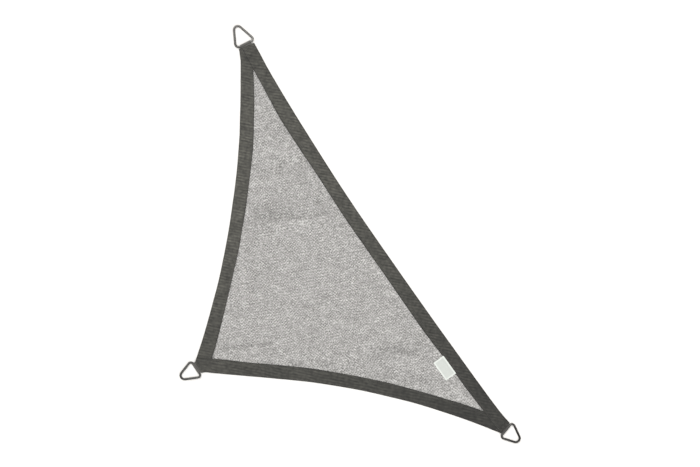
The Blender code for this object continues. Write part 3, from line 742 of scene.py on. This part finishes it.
def steel():
    """Drawn stainless wire, tumbled dull: it mirrors a blurred dark room, with fine marks on the wire."""
    made, tree, shader = started("tumbled drawn stainless steel")
    place = add(tree, "TexCoord").outputs["Object"]
    cloudy = {"Vector": place, "Scale": STEEL_CLOUDS, "Detail": 4.0, "Roughness": 0.6}
    cloudy = add(tree, "TexNoise", cloudy)
    rough = add(tree, "MapRange", {"Value": cloudy, "To Min": 0.35, "To Max": 0.55})
    colour = add(tree, "Mix", {0: cloudy, 6: linear("#4A4947"), 7: linear("#575654")}, data_type="RGBA")
    # On the rings this is a painted reflection that scales the steel's colour
    bright = add(tree, "Attribute", attribute_name="brightness").outputs["Fac"]
    colour = add(tree, "VectorMath", {0: colour.outputs[2], "Scale": bright}, operation="SCALE")
    marks = add(tree, "TexNoise", {"Vector": place, "Scale": STEEL_MARKS, "Detail": 2.0})
    relief = add(tree, "Bump", {"Height": marks, "Strength": 0.15, "Distance": 0.00005})
    give(tree, shader, {"Base Color": colour, "Roughness": rough, "Normal": relief})
    give(tree, shader, {"Metallic": 1.0, "Specular Tint": linear("#6A6965")})
    return made


stainless = steel()
# Painted reflection: how much lighter each ring's colour is made beside its bar, as if it caught the lamps,
# and how much more for each metre towards its tip and its left
PAINTED_SHINE = {"square": (0.86, -1.5, 0.0), "foot": (0.86, -5.0, 0.0), "head": (1.65, -1.0, -9.0)}
for name, corner in CORNERS.items():
    points = ring_points(corner, RINGS[name])
    shine, tipwards, leftwards = PAINTED_SHINE[name]
    offset = points[..., :2] - corner.bar
    bright = {"brightness": shine + tipwards * (offset @ corner.pull) + leftwards * (offset @ corner.side)}
    wire = closed_object("ring_wire_" + name, points, tube_quads(*points.shape[:2], closed=True), bright)
    wire.data.materials.append(stainless)
    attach(wire, "root")
    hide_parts("ring_" + name)

# ---------------------------------------------------------------- the loops
# A short length of flat polyester webbing passes round each ring's bar, and both its tails are sewn between
# the border's plies with a boxed cross of stitches.

LOOP_WIDTH = 0.069
LOOP_MOUTH = 0.008  # behind the bar, where the webbing enters the corner
TAIL_LEVELS = 1, 5  # plies, and the lower tail, that lie under the lower tail and the upper one
TAIL_STEPS = 7
WRAP_RADIUS = WIRE_RADIUS + LOOP_SLACK + PLY / 2  # of the middle of the webbing, round the bar
WRAP_STEPS = 36
SELVEDGE = 0.0008


def loop_line():
    """Side view of a loop, x outwards from the bar and z up: from the end of its lower tail to the mouth,
    round the bar, and back from the mouth to the end of its upper tail."""
    bar = np.array((0, BAR_HEIGHT))
    heights = [LAYER * level + PLY / 2 for level in TAIL_LEVELS]
    tangents = []
    for height, side in zip(heights, (-1, 1)):
        x, z = bar - (-LOOP_MOUTH, height)
        heading = np.arctan2(z, x) + side * np.arcsin(WRAP_RADIUS / np.hypot(x, z))
        tangents.append(heading + side * np.pi / 2)
    wrap = np.linspace(*tangents, WRAP_STEPS + 1)
    tail = np.linspace(-LOOP_TAIL, -LOOP_MOUTH, TAIL_STEPS + 1)
    round_bar = bar + WRAP_RADIUS * np.column_stack((np.cos(wrap), np.sin(wrap)))
    lower_tail = np.column_stack((tail, 0 * tail + heights[0]))
    upper_tail = np.column_stack((tail[::-1], 0 * tail + heights[1]))
    return np.concatenate((lower_tail, round_bar, upper_tail))


def webbing_section():
    """Across the webbing, y and how far each skin lies from its middle, as one closed line: full but for the
    selvedges, which round off as a quarter circle of the thickness."""
    flat = np.linspace(-1, 1, 30) * (LOOP_WIDTH / 2 - SELVEDGE)
    turns = np.linspace(-np.pi / 2, np.pi / 2, 7)[1:-1]
    edge_y = LOOP_WIDTH / 2 - SELVEDGE + SELVEDGE * np.cos(turns)
    edge_t = PLY / 2 * np.sin(turns)
    y = np.concatenate((flat, edge_y, flat[::-1], -edge_y[::-1]))
    t = np.concatenate((flat * 0 - PLY / 2, edge_t, flat * 0 + PLY / 2, edge_t[::-1]))
    return y, t


def loop_points(corner):
    """A loop: the webbing's section carried along its side view, with mitred bends."""
    line = loop_line()
    step = np.diff(line, axis=0)
    left = np.column_stack((-step[:, 1], step[:, 0])) / np.hypot(*step.T)[:, None]
    bend = np.concatenate((left[:1], left)) + np.concatenate((left, left[-1:]))
    bend = bend * 2 / (bend**2).sum(axis=1, keepdims=True)
    y, t = webbing_section()
    x = line[:, :1] + bend[:, :1] * t
    z = line[:, 1:] + bend[:, 1:] * t
    along = np.concatenate(((0,), np.cumsum(np.hypot(*step.T))))
    y = np.broadcast_to(y, x.shape)
    plan = corner.loop + x[..., None] * corner.pull + y[..., None] * corner.side
    return np.dstack((plan, z)), np.broadcast_to(along[:, None], x.shape), y


WEBBING_RIB = 0.003  # from one rib to the next
WEBBING_WARP = 0.002  # from one warp end to the next


def ribs(tree, attribute, pitch):
    """Woven ribs: the sine of the distance that the attribute holds, one wave to each pitch."""
    distance = add(tree, "Attribute", attribute_name=attribute).outputs["Fac"]
    angle = add(tree, "Math", {0: distance, 1: 2 * np.pi / pitch}, operation="MULTIPLY")
    return add(tree, "Math", {0: angle}, operation="SINE")


def webbing():
    """Flat woven polyester webbing, spun-dyed grey: fine ribs across it, with the warp's twill seen on them.
    The ribs, really 0.8 mm apart, are drawn 3 mm apart."""
    made, tree, shader = started("woven polyester webbing")
    weave = {0: ribs(tree, "along", WEBBING_RIB), 1: ribs(tree, "across", WEBBING_WARP)}
    weave = add(tree, "Math", weave, operation="MULTIPLY")
    level = add(tree, "MapRange", {"Value": weave, "From Min": -1.0, "From Max": 1.0})
    colour = add(tree, "Mix", {0: level, 6: linear("#3C3B38"), 7: linear("#53514D")}, data_type="RGBA")
    bright = add(tree, "Attribute", attribute_name="brightness").outputs["Fac"]
    colour = add(tree, "VectorMath", {0: colour.outputs[2], "Scale": bright}, operation="SCALE")
    relief = add(tree, "Bump", {"Height": level, "Strength": 0.5, "Distance": 0.0003})
    give(tree, shader, {"Base Color": colour, "Normal": relief})
    give(tree, shader, {"Roughness": 0.7, "IOR": 1.5, "Sheen Weight": 0.1})
    return made


BOX = (0.014, 0.040, 0.026)  # behind the bar, from and to, and half the width of the boxed stitches
BOX_STARTS = 0.6, 0.4  # stitches, from a line's two ends, within which no stitch has its middle
BOX_MARGIN = 0.004  # inside the border's fold and the corner's cut, where there are none
BOX_INNER_MARGIN = 0.003  # from the border's inner edge, where there are none either
# The border that lies on top at each corner, and its edge
TOPMOST = {"square": ("lower", LOWER), "foot": ("long", LONG), "head": ("long", LONG)}
# How bright each loop's webbing is, as a share of the weave's own colours
WEBBING_TONES = {"square": 1.0, "foot": 0.58, "head": 1.05}
grey_webbing = webbing()
for name, corner in CORNERS.items():
    points, along, across = loop_points(corner)
    rings, sides = points.shape[:2]
    caps = [list(range(sides)), list(range((rings - 1) * sides, rings * sides))]
    values = {"along": along, "across": across, "brightness": np.full(along.shape, WEBBING_TONES[name])}
    loop = closed_object("webbing_" + name, points, tube_quads(rings, sides, closed=False) + caps, values)
    loop.data.materials.append(grey_webbing)
    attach(loop, "root")
    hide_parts("loop_" + name)

    # The needle goes round the box, across it, along its far side and back across
    near, far, half = BOX
    box = np.array(((near, -half), (near, half), (far, half), (far, -half)))
    route = box[[0, 1, 2, 3, 0, 2, 3, 1]]
    first, last = np.multiply(BOX_STARTS, STITCH)
    middles, directions = [], []
    for a, b in zip(route[:-1], route[1:]):
        run = np.hypot(*(b - a))
        place = np.arange(first, run - last, STITCH + STITCH_GAP)[:, None] / run * (b - a) + a
        middles.append(corner.bar - place[:, :1] * corner.pull + place[:, 1:] * corner.side)
        step = (b - a) / run
        directions.append(np.tile(-step[0] * corner.pull + step[1] * corner.side, (len(place), 1)))
    middles, directions = np.concatenate(middles), np.concatenate(directions)
    band, edge = TOPMOST[name]
    inset = edge.inset(middles)
    on_band = (inset > BOX_MARGIN) & (inset < BAND_WIDTH - BOX_INNER_MARGIN)
    on_band &= corner.inset(middles) > BOX_MARGIN
    middles, directions = middles[on_band], directions[on_band]
    top = LAYER * levels(middles)[band][1] + PLY
    cross = stitches("box_" + name, middles, directions, top)
    cross.data.materials.append(sewing_thread)
    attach(cross, "root")

# ---------------------------------------------------------------- the label
# One bare white woven label, cut from tape, lies on the panel. Its long side, where it is sewn down, laps
# over the long border's inner edge; the seam is not drawn.

LABEL_LENGTH = 0.128
LABEL_FROM = 0.0755  # inside the long edge
LABEL_TO = 0.149
LABEL_PLACE = 0.180  # share of the long edge, from the foot
LABEL_THICKNESS = 0.001
LABEL_DROP = 0.015  # within which it comes down from the border to the panel
LABEL_GRID = 40, 60  # points across and along it
LABEL_RIB = 0.002  # from one rib to the next
# How far in from its edges it is double, from where it is single, and how much whiter it is where double
LABEL_MARGIN = (0.005, 0.011, 1.28)


def label():
    """The label: parallel curves of the long edge, on the panel's own height, and up over the border's edge
    by a smooth step."""
    half = LABEL_LENGTH / 2 / LONG.length
    f = np.linspace(LABEL_PLACE - half, LABEL_PLACE + half, LABEL_GRID[1])
    insets = np.linspace(LABEL_FROM, LABEL_TO, LABEL_GRID[0])
    plan = np.array([LONG.parallel(f, inset) for inset in insets])
    stepped_up = ease(insets, BAND_WIDTH + EASE_MARGIN / 2, LABEL_DROP)[:, None]
    level = levels(plan)
    lift = LAYER * (1 + stepped_up * (level["long"][1] - level["panel"]))
    under = np.dstack((plan, panel_underside(plan) + lift))
    across = np.minimum(insets - LABEL_FROM, LABEL_TO - insets)[:, None]
    along = (f - f[0]) * LONG.length
    from_edge = np.minimum(across, np.minimum(along, LABEL_LENGTH - along))
    along = np.broadcast_to(along, from_edge.shape)
    over = under + (0, 0, LABEL_THICKNESS)
    return sheet_object("white_label", over, under, along=along, from_edge=from_edge)


def label_weave():
    """White woven polyester tape: bright, with fine ribs across it, drawn 2 mm apart. It looks whiter along
    its turned and sewn margin, where it is double."""
    made, tree, shader = started("white woven polyester tape")
    rib = ribs(tree, "along", LABEL_RIB)
    level = add(tree, "MapRange", {"Value": rib, "From Min": -1.0, "From Max": 1.0})
    colour = add(tree, "Mix", {0: level, 6: linear("#A6A9A4"), 7: linear("#AEB1AC")}, data_type="RGBA")
    from_edge = add(tree, "Attribute", attribute_name="from_edge").outputs["Fac"]
    double, single, whiter = LABEL_MARGIN
    margin = {"Value": from_edge, "From Min": double, "From Max": single, "To Min": whiter, "To Max": 1.0}
    margin = add(tree, "MapRange", margin)
    colour = add(tree, "VectorMath", {0: colour.outputs[2], "Scale": margin}, operation="SCALE")
    relief = add(tree, "Bump", {"Height": level, "Strength": 0.3, "Distance": 0.0002})
    give(tree, shader, {"Base Color": colour, "Normal": relief, "Roughness": 0.6, "IOR": 1.5})
    return made


tape = label()
tape.data.materials.append(label_weave())
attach(tape, "root")
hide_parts("label")

# ---------------------------------------------------------------- floor, light and camera
# A warm-white studio floor, lit evenly until it is pure white, by two very broad lamps. The camera looks
# straight down through a long lens, turned a little, as the photograph was taken.

FLOOR_HALF = 40.0
FLOOR_TOP = -0.0005
around = (-1, -1), (1, -1), (1, 1), (-1, 1)
floor = bpy.data.meshes.new("floor")
floor.from_pydata([(x * FLOOR_HALF, y * FLOOR_HALF, FLOOR_TOP) for x, y in around], [], [(0, 1, 2, 3)])
floor = bpy.data.objects.new("floor", floor)
bpy.context.scene.collection.objects.link(floor)
paper, tree, shader = started("matte warm-white paper")
cloudy = add(tree, "TexNoise", {"Vector": add(tree, "TexCoord").outputs["Object"], "Scale": 4.0})
colour = add(tree, "Mix", {0: cloudy, 6: linear("#D3D1CE"), 7: linear("#D5D3D0")}, data_type="RGBA")
give(tree, shader, {"Base Color": colour.outputs[2], "Roughness": 0.9})
floor.data.materials.append(paper)

# Lamps: strength, apparent width in degrees, elevation and azimuth they shine from
LAMPS = {
    "key": (3.6, 50, 60, 130),
    "fill": (2.2, 70, 60, -40),
}
for name, (strength, width, elevation, azimuth) in LAMPS.items():
    lamp = bpy.data.lights.new(name, "SUN")
    lamp.energy = strength
    lamp.angle = np.radians(width)
    lamp = bpy.data.objects.new(name, lamp)
    lamp.rotation_euler = (0, np.radians(90 - elevation), np.radians(azimuth))
    bpy.context.scene.collection.objects.link(lamp)

world = bpy.data.worlds.new("dark studio")
world.use_nodes = True
world.node_tree.nodes["Background"].inputs["Color"].default_value = (0.1, 0.1, 0.1, 1.0)
bpy.context.scene.world = world
bpy.context.scene.view_settings.view_transform = "Standard"

camera = bpy.data.cameras.new("camera")
camera.lens = 100
camera.sensor_width = 36
camera.clip_end = 100
camera = bpy.data.objects.new("camera", camera)
camera.location = (-0.15636, -0.02392, 11.49)
camera.rotation_euler = (0, 0, np.radians(9.9))
bpy.context.scene.collection.objects.link(camera)
bpy.context.scene.camera = camera
